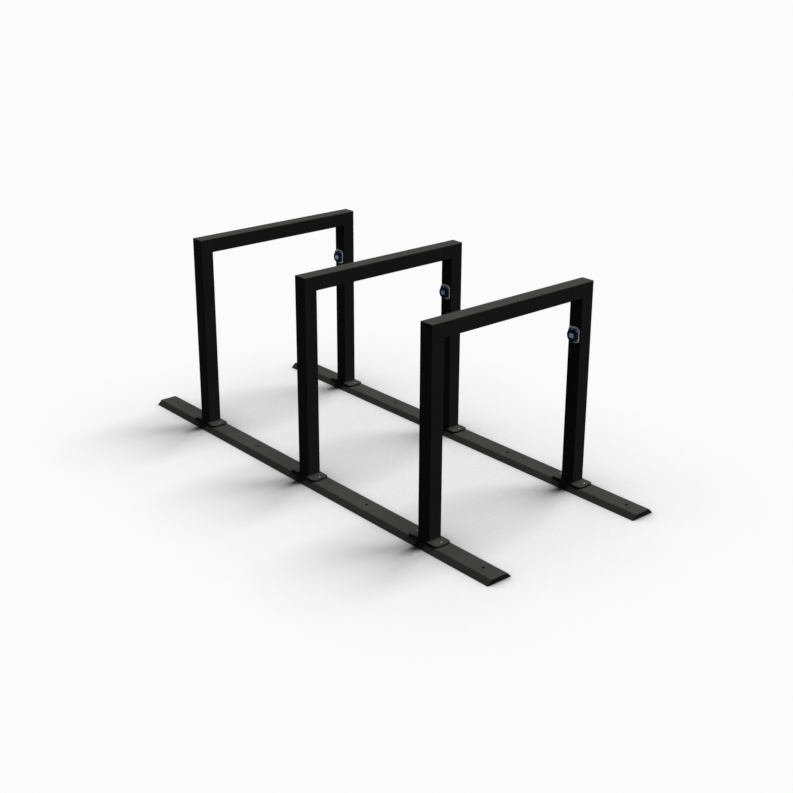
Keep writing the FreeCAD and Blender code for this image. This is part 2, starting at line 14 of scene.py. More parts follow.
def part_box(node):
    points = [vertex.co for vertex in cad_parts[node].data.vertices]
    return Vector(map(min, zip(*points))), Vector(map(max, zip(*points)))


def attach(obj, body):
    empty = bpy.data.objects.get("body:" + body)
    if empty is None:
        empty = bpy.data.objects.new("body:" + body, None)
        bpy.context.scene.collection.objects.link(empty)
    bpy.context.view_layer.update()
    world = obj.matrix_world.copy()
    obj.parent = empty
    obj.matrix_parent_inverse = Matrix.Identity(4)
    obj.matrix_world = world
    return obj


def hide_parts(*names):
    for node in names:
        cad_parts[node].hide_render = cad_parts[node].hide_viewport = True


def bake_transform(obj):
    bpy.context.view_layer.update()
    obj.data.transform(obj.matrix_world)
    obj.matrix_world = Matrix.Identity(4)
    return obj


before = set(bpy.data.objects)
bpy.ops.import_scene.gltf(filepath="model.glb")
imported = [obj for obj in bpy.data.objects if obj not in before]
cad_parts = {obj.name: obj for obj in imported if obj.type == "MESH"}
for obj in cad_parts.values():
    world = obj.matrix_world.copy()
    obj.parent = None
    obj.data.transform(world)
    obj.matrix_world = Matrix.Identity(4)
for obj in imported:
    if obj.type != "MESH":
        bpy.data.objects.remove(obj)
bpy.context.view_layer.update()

# Bike rack with charging sockets: three hoops of black coated square tube stand on two low floor rails,
# and the far leg of each hoop carries a mains socket behind a sprung lid. X runs along the rails, Y from
# the near rail to the far rail, Z up. The frame and the studio are in metres. The sizes of the rack's own
# classes are in millimetres and are scaled once, where a form becomes a piece.

LOG = logging.getLogger("bike_rack")
MM = 0.001
HOOPS = (1, 2, 3)
RACK = "rack"
CRISP_ANGLE = math.radians(35.0)
WELD_TOGETHER = 1e-3
CORNER_STEPS = 6
TURN_STEPS = 64
HOLE_STEPS = 32
# How far a cutting form reaches past what it cuts, or a fused one into what it joins, in millimetres
OVER = 1.0
ALONG = Vector((1.0, 0.0, 0.0))
MOTTLE_DETAIL = 8.0
MOTTLE_ROUGHNESS = 0.65
GRAIN_DETAIL = 2.0

Triple = Tuple[float, float, float]
Pair = Tuple[float, float]
Colour = Tuple[float, float, float, float]
Element = TypeVar("Element", BMEdge, BMVert)
Inputs = Mapping[str, Union[float, Sequence[float], NodeSocket]]


class Side(Enum):
    """The two long sides of the rack."""

    NEAR = "near"
    FAR = "far"


LEGS = [(side, f"hoop_{number}_{side.value}") for side in Side for number in HOOPS]


class Joining(Enum):
    """How a second form meets the first one."""

    FUSE = "UNION"
    CUT = "DIFFERENCE"


def linear(hex_colour: str) -> Colour:
    """Turn an sRGB colour into the linear one that a shader takes, by the sRGB standard's curve.

    Args:
        hex_colour: The colour as #rrggbb.

    Returns:
        Red, green, blue and a full alpha.
    """
    parts = [int(hex_colour[start:start + 2], 16) / 255.0 for start in (1, 3, 5)]
    red, green, blue = (part / 12.92 if part <= 0.04045 else ((part + 0.055) / 1.055) ** 2.4
                        for part in parts)
    return red, green, blue, 1.0


def per_metre(size: float) -> float:
    """Texture scale that draws a pattern of the given size in millimetres."""
    return 1.0 / (size * MM)


def add_node(tree: NodeTree, kind: str, inputs: Inputs, **settings: str) -> Optional[NodeSocket]:
    """Add a shader node with its settings and links.

    Args:
        tree: The node tree that takes it.
        kind: Blender's name for the node's type, after ShaderNode.
        inputs: For each input by name, the socket that feeds it or its constant.
        settings: Values of the node's own properties.

    Returns:
        The node's first output in use, or None where it has none.
    """
    node = tree.nodes.new(f"ShaderNode{kind}")
    for name, value in settings.items():
        setattr(node, name, value)
    for name, value in inputs.items():
        socket = next(socket for socket in node.inputs if socket.enabled and socket.name == name)
        if isinstance(value, NodeSocket):
            tree.links.new(value, socket)
        else:
            socket.default_value = value
    return next((socket for socket in node.outputs if socket.enabled), None)


@dataclass(frozen=True)
class Finish:
    """A surface finish that several pieces share, with the size and depth of its grain in millimetres."""

    slot: str
    dark: str
    light: str
    mottle: float
    grain: Pair
    roughness: Pair
    stretch: Triple = (1.0, 1.0, 1.0)
    metallic: float = 0.0
    specular: float = 0.5
    specular_tint: str = "#ffffff"
    coat: float = 0.0

    def material(self) -> Material:
        """The finish's material, mixed when it is first asked for."""
        return bpy.data.materials.get(type(self).__name__) or self.mix()

    def mix(self) -> Material:
        """Mix the material: mottled colour and gloss, and a grain that catches the light.

        Returns:
            The new material.
        """
        material = bpy.data.materials.new(type(self).__name__)
        material.use_nodes = True
        tree = material.node_tree
        tree.nodes.clear()
        place = add_node(tree, "TexCoord", {}).node.outputs["Object"]
        mottle = add_node(tree, "TexNoise", {"Vector": place, "Scale": per_metre(self.mottle),
                                             "Detail": MOTTLE_DETAIL, "Roughness": MOTTLE_ROUGHNESS})
        drawn = add_node(tree, "Mapping", {"Vector": place, "Scale": self.stretch})
        size, depth = self.grain
        grain = add_node(tree, "TexNoise",
                         {"Vector": drawn, "Scale": per_metre(size), "Detail": GRAIN_DETAIL})
        colour = add_node(tree, "Mix", {"Factor": mottle, "A": linear(self.dark), "B": linear(self.light)},
                          data_type="RGBA")
        low, high = self.roughness
        gloss = add_node(tree, "MapRange", {"Value": mottle, "To Min": low, "To Max": high})
        bump = add_node(tree, "Bump", {"Height": grain, "Distance": depth * MM})
        surface = add_node(tree, "BsdfPrincipled",
                           {"Base Color": colour, "Roughness": gloss, "Metallic": self.metallic,
                            "Specular IOR Level": self.specular, "Coat Weight": self.coat,
                            "Specular Tint": linear(self.specular_tint), "Normal": bump})
        add_node(tree, "OutputMaterial", {"Surface": surface})
        return material


@dataclass(frozen=True)
class PowderCoatedSteel(Finish):
    """Fine-textured black polyester powder, baked on steel."""

    # Black with hardly any mirror gloss: level tops turn charcoal under the light and upright faces stay
    # dark. The powder's grit of about 0.1 mm is drawn at 2 mm so that it shows.
    slot: str = "black_powder_coat"
    dark: str = "#383837"
    light: str = "#4a4a49"
    mottle: float = 160.0
    grain: Pair = (2.0, 0.18)
    roughness: Pair = (0.5, 0.62)
    specular: float = 0.004


@dataclass(frozen=True)
class ZincNickelWithPaintedShade(Finish):
    """Passivated zinc-nickel on cold-headed steel fasteners, its colour painted dark grey as painted shade
    for the dark surroundings that the metal mirrors.
    """

    # Smoky grey metal, its darkness painted shade, clouded where the passivation is thicker, with a soft
    # glint on the domes.
    slot: str = "zinc_steel"
    # Painted shade: both colours are kept dark to stand for dark surroundings mirrored in the metal.
    dark: str = "#505153"
    light: str = "#686969"
    mottle: float = 5.0
    grain: Pair = (0.8, 0.02)
    roughness: Pair = (0.36, 0.52)
    metallic: float = 1.0


@dataclass(frozen=True)
class DrawnStainlessSteel(Finish):
    """Stainless wire and strip, drawn and tumbled."""

    # Mid grey metal, dulled by tumbling, with fine lines along the draw.
    slot: str = "stainless_steel"
    dark: str = "#87868a"
    light: str = "#9c9b9d"
    mottle: float = 4.0
    grain: Pair = (0.6, 0.01)
    stretch: Triple = (0.1, 1.0, 1.0)
    roughness: Pair = (0.34, 0.48)
    metallic: float = 1.0


@dataclass(frozen=True)
class MouldedRubber(Finish):
    """Black moulded EPDM rubber."""

    # Dull charcoal with a dry bloom and no clear reflections.
    slot: str = "black_rubber"
    dark: str = "#141415"
    light: str = "#1f2021"
    mottle: float = 9.0
    grain: Pair = (0.7, 0.04)
    roughness: Pair = (0.7, 0.86)
    specular: float = 0.35


@dataclass(frozen=True)
class PaleCoatedPlate(Finish):
    """Pale grey satin coat on the socket's backing plate."""

    # Almost white with a cool tinge and an even satin sheen.
    slot: str = "pale_grey_coat"
    dark: str = "#dfe7ee"
    light: str = "#e9eff5"
    mottle: float = 14.0
    grain: Pair = (0.8, 0.03)
    roughness: Pair = (0.4, 0.52)
    specular: float = 1.0
    coat: float = 1.0


@dataclass(frozen=True)
class NavyNylon(Finish):
    """Dark blue glass-filled nylon, moulded in a spark-eroded tool."""

    # Deep navy, semi-matt, with a very fine even grain.
    slot: str = "blue_plastic"
    dark: str = "#1c4672"
    light: str = "#214e7e"
    mottle: float = 11.0
    grain: Pair = (0.6, 0.03)
    roughness: Pair = (0.38, 0.5)
    specular: float = 0.01


@dataclass(frozen=True)
class PolishedNavyNylon(NavyNylon):
    """The same blue nylon, moulded in a polished tool."""

    # A little lighter than the grained nylon: its lighter colours are a painted reflection of the pale
    # surroundings, on top of the real gloss of its smoother skin.
    dark: str = "#22568a"
    light: str = "#285f97"
    roughness: Pair = (0.26, 0.36)
    specular: float = 0.32
    specular_tint: str = "#b9d8ff"


@dataclass(frozen=True)
class PressedThermoset(Finish):
    """Pale pressed urea thermoset of the contact carrier."""

    # Off-white, hard and slightly speckled.
    slot: str = "pale_thermoset"
    dark: str = "#c3c2ba"
    light: str = "#d8d7d0"
    mottle: float = 1.5
    grain: Pair = (0.6, 0.02)
    roughness: Pair = (0.34, 0.46)


@dataclass(frozen=True)
class BlackNylon(Finish):
    """Black moulded nylon of the terminal cover."""

    # Plain black with the soft sheen of an eroded tool.
    slot: str = "black_plastic"
    dark: str = "#151617"
    light: str = "#1d1e20"
    mottle: float = 10.0
    grain: Pair = (0.7, 0.04)
    roughness: Pair = (0.42, 0.56)


@dataclass(frozen=True)
class TurnedBrass(Finish):
    """Turned brass of the plug contacts."""

    # Yellow metal, bright where the pins wipe it and dulled elsewhere.
    slot: str = "contact_brass"
    dark: str = "#a8863f"
    light: str = "#d0ab59"
    mottle: float = 3.0
    grain: Pair = (0.4, 0.01)
    roughness: Pair = (0.18, 0.36)
    metallic: float = 1.0


@dataclass(frozen=True)
class SatinAcrylic(Finish):
    """Pale satin acrylic of the bare inlay in the lid."""

    # Near white, with a pale cool blue painted in as painted light that the navy lid throws back, and a
    # smooth, slightly cloudy face.
    slot: str = "white_inlay"
    dark: str = "#a4c8f0"
    light: str = "#b2d2f6"
    mottle: float = 7.0
    grain: Pair = (0.5, 0.01)
    roughness: Pair = (0.28, 0.38)
    specular: float = 1.0
    specular_tint: str = "#b9d6ff"
    coat: float = 1.0


Forms = Mapping[str, Tuple[BMesh, Finish, str]]
FINISHES: Tuple[Finish, ...] = (
    PowderCoatedSteel(), ZincNickelWithPaintedShade(), DrawnStainlessSteel(), MouldedRubber(), PaleCoatedPlate(),
    NavyNylon(), PressedThermoset(), BlackNylon(), TurnedBrass(), SatinAcrylic(),
)


def crisp_edges(form: BMesh) -> List[BMEdge]:
    """Edges of a form whose two faces meet at a clear angle."""
    return [edge for edge in form.edges if edge.calc_face_angle(0.0) > CRISP_ANGLE]


def soften(form: BMesh, width: float, edges: Optional[Sequence[BMEdge]] = None, steps: int = 2) -> None:
    """Round edges of a form.

    Args:
        form: The form, in millimetres.
        width: How far the rounding sets in from the edge.
        edges: The edges, or None for all crisp ones.
        steps: Facets across the rounding.
    """
    chosen = crisp_edges(form) if edges is None else list(edges)
    bmesh.ops.bevel(form, geom=chosen, offset=width, offset_type="OFFSET", segments=steps, profile=0.5,
                    affect="EDGES", material=-1, clamp_overlap=True, loop_slide=False)


def tidy(form: BMesh) -> None:
    """Merge doubles and turn the faces of a form outwards."""
    bmesh.ops.remove_doubles(form, verts=form.verts, dist=WELD_TOGETHER)
    bmesh.ops.recalc_face_normals(form, faces=form.faces)


def only(kind: Type[Element], geometry: Iterable[object]) -> List[Element]:
    """The elements of one kind in an operator's result."""
    return [item for item in geometry if isinstance(item, kind)]


def ring_edges(verts: Sequence[BMVert]) -> List[BMEdge]:
    """The edges that link the vertices of a ring."""
    linked = dict.fromkeys(edge for vert in verts for edge in vert.link_edges)
    return [edge for edge in linked if set(edge.verts) <= set(verts)]


def open_ring(form: BMesh, sides: int, radius: float, place: Matrix) -> List[BMEdge]:
    """Add an open circle to a form, and give its edges."""
    made = bmesh.ops.create_circle(form, cap_ends=False, segments=sides, radius=radius, matrix=place)
    return ring_edges(made["verts"])


def lies_at(element: Union[BMEdge, BMFace], height: float) -> bool:
    """Whether an edge or a face lies level at a height."""
    return all(abs(vert.co.z - height) < WELD_TOGETHER for vert in element.verts)


@dataclass(frozen=True)
class Hole:
    """A round hole through a level plate, with chamfered mouths."""

    x: float
    y: float
    radius: float
    chamfer: float = 0.0

    def circle(self, form: BMesh, height: float, flare: float = 0.0) -> List[BMEdge]:
        """Add the hole's circle to a form, widened by the flare, and give its edges."""
        place = Matrix.Translation((self.x, self.y, height))
        return open_ring(form, HOLE_STEPS, self.radius + flare, place)


def pierce_caps(form: BMesh, heights: Sequence[float], holes: Sequence[Hole]) -> None:
    """Open round holes in the level faces of a form.

    Args:
        form: The form, whose level faces have no holes yet.
        heights: Height of each face that the holes go through, from the lowest up.
        holes: The holes.
    """
    mouths: List[List[List[BMEdge]]] = [[] for _ in holes]
    for height in heights:
        cap = max((face for face in form.faces if lies_at(face, height)), key=BMFace.calc_area)
        upwards = cap.normal.copy()
        border = list(cap.edges)
        bmesh.ops.delete(form, geom=[cap], context="FACES_ONLY")
        for mouth, hole in zip(mouths, holes):
            mouth.append(hole.circle(form, height, hole.chamfer))
            border += mouth[-1]
        bmesh.ops.triangle_fill(form, edges=border, use_beauty=True, normal=upwards)
    for mouth, hole in zip(mouths, holes):
        if len(heights) == 2:
            first = hole.circle(form, heights[0] + hole.chamfer)
            last = hole.circle(form, heights[1] - hole.chamfer)
            for start, end in ((mouth[0], first), (first, last), (last, mouth[1])):
                bmesh.ops.bridge_loops(form, edges=start + end)


def plate_form(corners: Sequence[Triple], low: float, high: float, edge: float,
               holes: Sequence[Hole] = ()) -> BMesh:
    """A level plate with rounded corners, softened edges and round holes.

    Args:
        corners: The outline, as x, y and corner radius.
        low: Height of the lower face.
        high: Height of the upper face.
        edge: Rounding of the edges, 0 for none.
        holes: The holes through it.

    Returns:
        The plate.
    """
    form = bmesh.new()
    points = [form.verts.new((x, y, low)) for x, y, _ in corners]
    form.faces.new(points)
    for radius in sorted({corner[2] for corner in corners} - {0.0}):
        turned = [point for point, corner in zip(points, corners) if corner[2] == radius]
        bmesh.ops.bevel(form, geom=turned, offset=radius, offset_type="OFFSET", segments=CORNER_STEPS,
                        profile=0.5, affect="VERTICES", material=-1)
    raised = bmesh.ops.extrude_face_region(form, geom=form.faces[:])
    bmesh.ops.translate(form, verts=only(BMVert, raised["geom"]), vec=(0.0, 0.0, high - low))
    tidy(form)
    if edge > 0.0:
        soften(form, edge)
    if holes:
        pierce_caps(form, (low, high), holes)
        tidy(form)
    return form


def rounded_rectangle(width: float, height: float, radius: float) -> List[Triple]:
    """Corners of a rectangle round the origin, with equal corner radii."""
    right, top = width / 2.0, height / 2.0
    return [(-right, -top, radius), (right, -top, radius), (right, top, radius), (-right, top, radius)]


def turned_form(profile: Sequence[Pair], edge: float = 0.0, closed: bool = False,
                steps: int = TURN_STEPS) -> BMesh:
    """A form turned about Z.

    Args:
        profile: Radius and height of each point of the outline.
        edge: Rounding of its crisp edges, 0 for none.
        closed: Whether the outline closes on itself, as a ring's does, or runs from pole to pole.
        steps: Facets round the axis.

    Returns:
        The turned form.
    """
    form = bmesh.new()
    points = [form.verts.new((radius, 0.0, height)) for radius, height in profile]
    pairs = list(zip(points, points[1:])) + ([(points[-1], points[0])] if closed else [])
    edges = [form.edges.new(pair) for pair in pairs]
    bmesh.ops.spin(form, geom=points + edges, cent=(0.0, 0.0, 0.0), axis=(0.0, 0.0, 1.0),
                   angle=2.0 * math.pi, steps=steps, use_merge=True)
    tidy(form)
    if edge > 0.0:
        soften(form, edge)
    return form


def bore_form(place: Pair, radius: float, mouth: float, heights: Sequence[float],
              steps: int = HOLE_STEPS) -> BMesh:
    """A cutter for a round hole with a flared mouth.

    Args:
        place: Centre of the hole.
        radius: Radius of its straight stretch.
        mouth: Radius of its mouth.
        heights: Height of its floor, and of the start and the end of the flare.
        steps: Facets round it.

    Returns:
        The cutter.
    """
    floor, shoulder, rim = heights
    form = turned_form([(0.0, floor), (radius, floor), (radius, shoulder), (mouth, rim), (mouth, rim + OVER),
                        (0.0, rim + OVER)], steps=steps)
    bmesh.ops.translate(form, verts=form.verts, vec=(*place, 0.0))
    return form


def rod_form(radius: float, left: float, right: float, axis: Pair, edge: float = 0.0) -> BMesh:
    """A round rod along X.

    Args:
        radius: The rod's radius.
        left: X of its left end.
        right: X of its right end.
        axis: Y and Z of its axis.
        edge: Rounding of its ends.

    Returns:
        The rod.
    """
    form = turned_form([(0.0, left), (radius, left), (radius, right), (0.0, right)], edge,
                       steps=HOLE_STEPS)
    lay = Matrix.Translation((0.0, *axis)) @ Matrix.Rotation(math.pi / 2.0, 4, "Y")
    bmesh.ops.transform(form, matrix=lay, verts=form.verts)
    return form


def block_form(left: float, right: float, low: float, top: float, back: float, front: float,
               edge: float = 0.0) -> BMesh:
    """A block between three pairs of sides, with its edges rounded by the last value."""
    corners = [(left, low, 0.0), (right, low, 0.0), (right, top, 0.0), (left, top, 0.0)]
    return plate_form(corners, back, front, edge)


def repeat(form: BMesh, places: Sequence[Matrix]) -> BMesh:
    """Copy a form to several places within one mesh.

    Args:
        form: The form, used up by the call.
        places: Where each copy goes.

    Returns:
        The copies together.
    """
    first = form.verts[:] + form.edges[:] + form.faces[:]
    for place in places[1:]:
        copy = bmesh.ops.duplicate(form, geom=first)["geom"]
        bmesh.ops.transform(form, matrix=place, verts=only(BMVert, copy))
    bmesh.ops.transform(form, matrix=places[0], verts=only(BMVert, first))
    return form


def link_object(name: str, data: ID) -> Object:
    """Link a new object to the scene.

    Args:
        name: The object's name.
        data: The mesh, lamp or camera that it holds.

    Returns:
        The object.
    """
    made = bpy.data.objects.new(name, data)
    bpy.context.scene.collection.objects.link(made)
    return made


def loose_object(form: BMesh, name: str) -> Object:
    """Link an object that holds a form.

    Args:
        form: The form, used up by the call.
        name: The object's name.

    Returns:
        The object.
    """
    mesh = bpy.data.meshes.new(name)
    form.to_mesh(mesh)
    form.free()
    return link_object(name, mesh)


def combine(form: BMesh, fused: Sequence[BMesh], cut: Sequence[BMesh]) -> BMesh:
    """Fuse closed forms with a first one, and then cut others from it.

    Args:
        form: The first form, used up by the call.
        fused: The forms that are fused with it, used up too.
        cut: The forms that are cut from it, used up too.

    Returns:
        The result as one closed form.
    """
    host = loose_object(form, "host")
    scratch = [host]
    steps = [(Joining.FUSE, other) for other in fused] + [(Joining.CUT, other) for other in cut]
    for way, other in steps:
        scratch.append(loose_object(other, "tool"))
        step = host.modifiers.new(way.name, "BOOLEAN")
        step.operation = way.value
        step.solver = "EXACT"
        step.object = scratch[-1]
    result = bmesh.new()
    result.from_object(host, bpy.context.evaluated_depsgraph_get())
    for spent in scratch:
        bpy.data.meshes.remove(spent.data)
    tidy(result)
    return result


def make_piece(form: BMesh, name: str, finish: Finish, nodes: Sequence[str] = (),
               place: Matrix = Matrix.Identity(4), body: Optional[str] = RACK) -> Object:
    """Turn a form into a dressed piece in the rack's frame.

    Args:
        form: The form in millimetres, used up by the call.
        name: The piece's name.
        finish: Its surface finish.
        nodes: The CAD nodes that it stands for.
        place: Where it goes in the frame, in metres.
        body: The body that carries it, or None for a piece that rides on no body.

    Returns:
        The piece.
    """
    bmesh.ops.transform(form, matrix=place @ Matrix.Scale(MM, 4), verts=form.verts)
    for face in form.faces:
        face.smooth = True
    for edge in form.edges:
        edge.smooth = edge.calc_face_angle(0.0) < CRISP_ANGLE
    piece = loose_object(form, name)
    piece.data.materials.append(finish.material())
    if nodes:
        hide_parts(*nodes)
    if body is not None:
        shading = piece.modifiers.new("flat_faces", "WEIGHTED_NORMAL")
        shading.keep_sharp = True
        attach(piece, body)
    return piece


def middle(node: str) -> Vector:
    """Centre of a CAD node's box, in metres."""
    low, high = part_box(node)
    return (low + high) / 2.0


def ground_below(node: str) -> Matrix:
    """Place on the ground under the centre of a CAD node."""
    centre = middle(node)
    return Matrix.Translation((centre.x, centre.y, 0.0))


def socket_place(number: int) -> Matrix:
    """Frame of a socket: X along the rails, Y up, Z out of the inner face of the far leg.

    Args:
        number: Which socket.

    Returns:
        Its place in the rack's frame, in metres.
    """
    centre = middle(f"socket_{number}_gasket")
    leg_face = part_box(f"hoop_{number}_far_leg")[0].y
    return Matrix.Translation((centre.x, leg_face, centre.z)) @ Matrix.Rotation(math.pi / 2.0, 4, "X")


@dataclass
class FootHoles:
    """Sizes that the rails share with the feet of the legs on them."""

    rail_height: float = 20.0
    bolt_shifts: Pair = (-61.0, 61.0)
    bolt_hole: float = 4.5
    cable_hole: float = 16.0

    def leg_holes(self, side: Side, x: float, chamfer: float = 0.0) -> List[Hole]:
        """Holes under a leg at x: two for bolts, and under a far leg one for the cable."""
        bolts = [Hole(x + shift, 0.0, self.bolt_hole, chamfer) for shift in self.bolt_shifts]
        return bolts + ([Hole(x, 0.0, self.cable_hole, chamfer)] if side is Side.FAR else [])


@dataclass
class FloorRails(FootHoles):
    """The two folded rails on the floor, with sloping sides, closed ends and holes in their tops."""

    length: float = 2160.0
    foot_width: float = 115.0
    top_width: float = 75.0
    sheet: float = 4.0
    bend: float = 5.0
    end_edge: float = 1.2
    hole_edge: float = 0.6
    anchor_hole: float = 6.0
    anchor_places: Tuple[float, ...] = (-1000.0, -360.0, 360.0, 1000.0)
    hoop_places: Tuple[float, ...] = (-720.0, 0.0, 720.0)

    def holes(self, side: Side) -> List[Hole]:
        """Holes in the top of the near or the far rail."""
        anchors = [Hole(x, 0.0, self.anchor_hole) for x in self.anchor_places]
        return anchors + [hole for x in self.hoop_places for hole in self.leg_holes(side, x)]

    def form(self, side: Side) -> BMesh:
        """Fold one rail.

        Args:
            side: Near or far rail.

        Returns:
            The rail, centred on its own length.
        """
        form = bmesh.new()
        lift = Matrix.Translation((0.0, 0.0, self.rail_height / 2.0))
        size = Matrix.Diagonal((self.length, self.foot_width, self.rail_height, 1.0))
        bmesh.ops.create_cube(form, size=1.0, matrix=lift @ size)
        upper = [vert for vert in form.verts if vert.co.z > self.rail_height / 2.0]
        bmesh.ops.scale(form, vec=(1.0, self.top_width / self.foot_width, 1.0), verts=upper)
        floor = [face for face in form.faces if lies_at(face, 0.0)]
        bmesh.ops.delete(form, geom=floor, context="FACES_ONLY")
        folds = [edge for edge in ring_edges(upper) if edge.calc_length() > self.foot_width]
        turn = math.atan2(self.rail_height, (self.foot_width - self.top_width) / 2.0)
        soften(form, self.bend * math.tan(turn / 2.0), folds, CORNER_STEPS)
        soften(form, self.end_edge)
        pierce_caps(form, (self.rail_height,), self.holes(side))
        tidy(form)
        bmesh.ops.solidify(form, geom=form.faces[:], thickness=self.sheet)
        sunk = [vert for vert in form.verts if vert.co.z < 0.0]
        bmesh.ops.scale(form, vec=(1.0, 1.0, 0.0), verts=sunk)
        mouths = [edge for edge in crisp_edges(form) if lies_at(edge, self.rail_height)]
        soften(form, self.hole_edge, mouths)
        return form

    def build(self) -> Iterator[Object]:
        """Make both rails.

        Returns:
            The rails.
        """
        for side in Side:
            node = f"{side.value}_rail"
            yield make_piece(self.form(side), f"{side.value}_folded_rail", PowderCoatedSteel(), [node],
                             ground_below(node))


@dataclass
class LegFeet(FootHoles):
    """Base plates under the legs, the welds that join them and the bolts that hold them down."""

    length: float = 155.0
    width: float = 75.0
    thickness: float = 8.0
    corner: float = 15.0
    edge: float = 1.0
    tube_side: float = 60.0
    tube_corner: float = 3.0
    weld_radius: float = 2.4
    weld_step: float = 2.0
    weld_ripple: float = 0.84
    weld_sides: int = 8
    weld_corner_steps: int = 3
    hole_chamfer: float = 0.5
    shank_radius: float = 4.0
    shank_length: float = 25.0
    shank_point: float = 1.0
    head_radius: float = 7.0
    head_height: float = 4.4
    head_rim: float = 0.6
    drive_sides: int = 6
    drive_flats: float = 5.0
    drive_depth: float = 2.6

    @property
    def top(self) -> float:
        """Height of the base plate's upper face."""
        return self.rail_height + self.thickness

    def plate(self, side: Side) -> BMesh:
        """Base plate of a near or a far leg, centred on it."""
        outline = rounded_rectangle(self.length, self.width, self.corner)
        return plate_form(outline, self.rail_height, self.top, self.edge,
                          self.leg_holes(side, 0.0, self.hole_chamfer))

    def weld(self) -> BMesh:
        """Fillet weld round a leg's foot, laid in small overlapping steps.

        Returns:
            The closed bead.
        """
        form = bmesh.new()
        half = self.tube_side / 2.0
        straight = self.tube_side - 2.0 * self.tube_corner
        strokes = 2 * round(straight / self.weld_step / 2.0)
        start = Vector((half, self.tube_corner - half, self.top))
        facing = Matrix.Translation(start) @ Matrix.Rotation(math.pi / 2.0, 4, "X")
        ring = open_ring(form, self.weld_sides, self.weld_radius, facing)
        for quarter in range(4):
            turn = Matrix.Rotation(quarter * math.pi / 2.0, 3, "Z")
            ahead = turn @ Vector((0.0, straight / strokes, 0.0))
            centre = turn @ start
            for stroke in range(strokes):
                drawn = bmesh.ops.extrude_edge_only(form, edges=ring)["geom"]
                ring, verts = only(BMEdge, drawn), only(BMVert, drawn)
                centre = centre + ahead
                swell = self.weld_ripple if stroke % 2 == 0 else 1.0 / self.weld_ripple
                bmesh.ops.translate(form, verts=verts, vec=ahead)
                bmesh.ops.scale(form, vec=(swell, swell, swell), verts=verts,
                                space=Matrix.Translation(-centre))
            pivot = turn @ Vector((half - self.tube_corner, half - self.tube_corner, self.top))
            rounded = bmesh.ops.spin(form, geom=verts + ring, cent=pivot, axis=(0.0, 0.0, 1.0),
                                     angle=math.pi / 2.0, steps=self.weld_corner_steps)
            ring = only(BMEdge, rounded["geom_last"])
        tidy(form)
        return form

    def bolt(self) -> BMesh:
        """Button-head bolt with a hexagon socket, its domed head on the plate.

        Returns:
            The bolt, on its own axis.
        """
        crown = self.top + self.head_height
        tip = self.top - self.shank_length
        form = turned_form([(0.0, tip), (self.shank_radius - self.shank_point, tip),
                            (self.shank_radius, tip + self.shank_point), (self.shank_radius, self.top),
                            (self.head_radius, self.top), (self.head_radius, crown), (0.0, crown)],
                           steps=HOLE_STEPS)
        rim = [vert for vert in form.verts
               if vert.co.z > crown - WELD_TOGETHER and vert.co.xy.length > self.shank_radius]
        soften(form, self.head_height - self.head_rim, ring_edges(rim), CORNER_STEPS)
        drive = bmesh.new()
        points = self.drive_flats / 2.0 / math.cos(math.pi / self.drive_sides)
        bmesh.ops.create_cone(drive, cap_ends=True, segments=self.drive_sides, depth=2.0 * self.drive_depth,
                              radius1=points, radius2=points, matrix=Matrix.Translation((0.0, 0.0, crown)))
        return combine(form, [], [drive])

    def bolt_places(self) -> List[Matrix]:
        """Places of all the bolts, in millimetres."""
        feet = [ground_below(f"{leg}_plate").translation / MM for _, leg in LEGS]
        return [Matrix.Translation(foot + ALONG * shift) for foot in feet for shift in self.bolt_shifts]

    def build(self) -> Iterator[Object]:
        """Make the feet of all legs.

        Returns:
            Plates, welds and bolts.
        """
        for side, leg in LEGS:
            node = f"{leg}_plate"
            place = ground_below(node)
            yield make_piece(self.plate(side), f"{leg}_base", PowderCoatedSteel(), [node], place)
            yield make_piece(self.weld(), f"{leg}_weld", PowderCoatedSteel(), (), place)
        bolts = repeat(self.bolt(), self.bolt_places())
        yield make_piece(bolts, "bolt_row", ZincNickelWithPaintedShade(), ["base_bolts"])


@dataclass
class HingedSocket:
    """Sizes of the hinge that a socket's housing shares with its lid."""

    hinge_rise: float = 25.0
    hinge_out: float = 13.7
    knuckle_radius: float = 2.5

    @property
    def axis(self) -> Pair:
        """Height and depth of the hinge's axis."""
        return self.hinge_rise, self.hinge_out

    def lugs(self, start: float, end: float, arm: Sequence[float], edge: float) -> List[BMesh]:
        """A pair of round lugs on the hinge's axis, one on each side of the spring.

        Args:
            start: Where each lug starts, from the middle.
            end: Where it ends.
            arm: Lower, upper, back and front side of the arm that carries it.
            edge: Rounding of its edges.

        Returns:
            The arms and lugs, to be fused with what carries them.
        """
        forms = []
        for left, right in ((-end, -start), (start, end)):
            forms.append(block_form(left, right, *arm, edge))
            forms.append(rod_form(self.knuckle_radius, left, right, self.axis, edge))
        return forms

    def fit(self, number: int, forms: Forms, body: Optional[str] = RACK) -> Iterator[Object]:
        """Fit copies of forms at one socket.

        Args:
            number: Which socket.
            forms: For each CAD node, the form that stands for it, its finish and its piece's name.
            body: The body that carries them, or None for pieces that ride on no body, such as the springs.

        Returns:
            The pieces.
        """
        for node, (form, finish, name) in forms.items():
            yield make_piece(form.copy(), f"socket_{number}_{name}", finish, [f"socket_{number}_{node}"],
                             socket_place(number), body)


